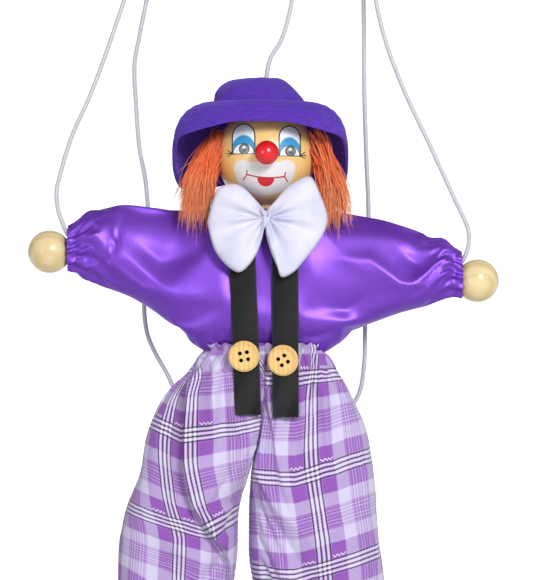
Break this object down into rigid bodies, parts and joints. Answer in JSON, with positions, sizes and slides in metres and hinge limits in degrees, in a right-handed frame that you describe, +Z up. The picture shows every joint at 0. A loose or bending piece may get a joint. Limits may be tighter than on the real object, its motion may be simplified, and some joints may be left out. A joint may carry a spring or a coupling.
{
  "type": "string puppet",
  "caption": "Clown marionette in a batwing satin shirt and baggy plaid trousers, hung by cords from a crossed wooden control.",
  "frame": {"origin": "centre of the top face of the control's grip bar, where the hand holds it", "axes": "+Z up along the hanging puppet, -Y the way it faces, +X to the right seen from the front"},
  "size_m": [0.1995, 0.128, 0.4105],
  "materials": {
    "bar_wood": "satin",
    "pale_wood": "satin",
    "face_lacquer": "gloss lacquer",
    "red_lacquer": "gloss lacquer",
    "violet_felt": "brushed, matt",
    "purple_satin": "satin sheen",
    "plaid_cotton": "matt woven plaid",
    "black_ribbon": "satin ribbon",
    "white_cloth": "matt",
    "orange_fur": "soft fur",
    "nylon": "braided",
    "steel": "bright wire",
    "shoe_lacquer": "gloss lacquer"
  },
  "bodies": {
    "control": {"grip_bar": "bar_wood", "crossbar": "bar_wood", "brad_left": "steel", "brad_right": "steel", "knot_head": "nylon", "knot_hand_left": "nylon", "knot_hand_right": "nylon", "knot_knee_left": "nylon", "knot_knee_right": "nylon"},
    "torso": {"head_string": "nylon", "hand_string_left": "nylon", "hand_string_right": "nylon", "knee_string_left": "nylon", "knee_string_right": "nylon", "torso_block": "pale_wood", "neck_peg": "pale_wood", "shoulder_eye_left": "steel", "shoulder_eye_right": "steel", "hip_eye_left": "steel", "hip_eye_right": "steel", "shirt_body": "purple_satin", "waistband": "plaid_cotton", "strap_left": "black_ribbon", "strap_right": "black_ribbon", "button_left": "pale_wood", "button_right": "pale_wood", "bow_left": "white_cloth", "bow_right": "white_cloth", "bow_knot": "white_cloth"},
    "head": {"head_ball": "face_lacquer", "nose_bead": "red_lacquer", "hat": "violet_felt", "hair_left": "orange_fur", "hair_right": "orange_fur"},
    "arm_left": {"arm_eye_left": "steel", "arm_dowel_left": "pale_wood", "hand_bead_left": "pale_wood", "sleeve_left": "purple_satin"},
    "thigh_left": {"thigh_eye_left": "steel", "thigh_dowel_left": "pale_wood", "knee_eye_left": "steel", "trouser_thigh_left": "plaid_cotton", "knee_tie_left": "nylon"},
    "shin_left": {"shin_eye_left": "steel", "shin_dowel_left": "pale_wood", "trouser_shin_left": "plaid_cotton", "shoe_left": "shoe_lacquer"},
    "arm_right": {"arm_eye_right": "steel", "arm_dowel_right": "pale_wood", "hand_bead_right": "pale_wood", "sleeve_right": "purple_satin"},
    "thigh_right": {"thigh_eye_right": "steel", "thigh_dowel_right": "pale_wood", "knee_eye_right": "steel", "trouser_thigh_right": "plaid_cotton", "knee_tie_right": "nylon"},
    "shin_right": {"shin_eye_right": "steel", "shin_dowel_right": "pale_wood", "trouser_shin_right": "plaid_cotton", "shoe_right": "shoe_lacquer"}
  },
  "joints": [
    {"name": "puppet_swing", "type": "hinge", "parent": "control", "child": "torso", "pos_m": [0, 0, -0.0113], "axis": [1, 0, 0], "range_deg": [-25, 25], "deforming": ["head_string"]},
    {"name": "head_turn", "type": "hinge", "parent": "torso", "child": "head", "pos_m": [0, 0, -0.2], "axis": [0, 0, 1], "range_deg": [-35, 35], "deforming": ["hair_left", "hair_right"]},
    {"name": "shoulder_left", "type": "hinge", "parent": "torso", "child": "arm_left", "pos_m": [-0.024, 0, -0.215], "axis": [0, 1, 0], "range_deg": [-55, 25], "deforming": ["sleeve_left", "hand_string_left"]},
    {"name": "shoulder_right", "type": "hinge", "parent": "torso", "child": "arm_right", "pos_m": [0.024, 0, -0.216], "axis": [0, -1, 0], "range_deg": [-48, 30], "deforming": ["sleeve_right", "hand_string_right"]},
    {"name": "hip_left", "type": "hinge", "parent": "torso", "child": "thigh_left", "pos_m": [-0.013, 0, -0.278], "axis": [-1, 0, 0], "range_deg": [-25, 80], "deforming": ["trouser_thigh_left", "knee_string_left", "knee_tie_left", "strap_left"]},
    {"name": "hip_right", "type": "hinge", "parent": "torso", "child": "thigh_right", "pos_m": [0.013, 0, -0.278], "axis": [-1, 0, 0], "range_deg": [-25, 80], "deforming": ["trouser_thigh_right", "knee_string_right", "knee_tie_right", "strap_right"]},
    {"name": "knee_left", "type": "hinge", "parent": "thigh_left", "child": "shin_left", "pos_m": [-0.0298, 0, -0.3366], "axis": [0.9762, 0, -0.2168], "range_deg": [0, 95], "deforming": ["trouser_shin_left"]},
    {"name": "knee_right", "type": "hinge", "parent": "thigh_right", "child": "shin_right", "pos_m": [0.0194, 0, -0.3387], "axis": [0.9962, 0, 0.0872], "range_deg": [0, 95], "deforming": ["trouser_shin_right"]}
  ]
}
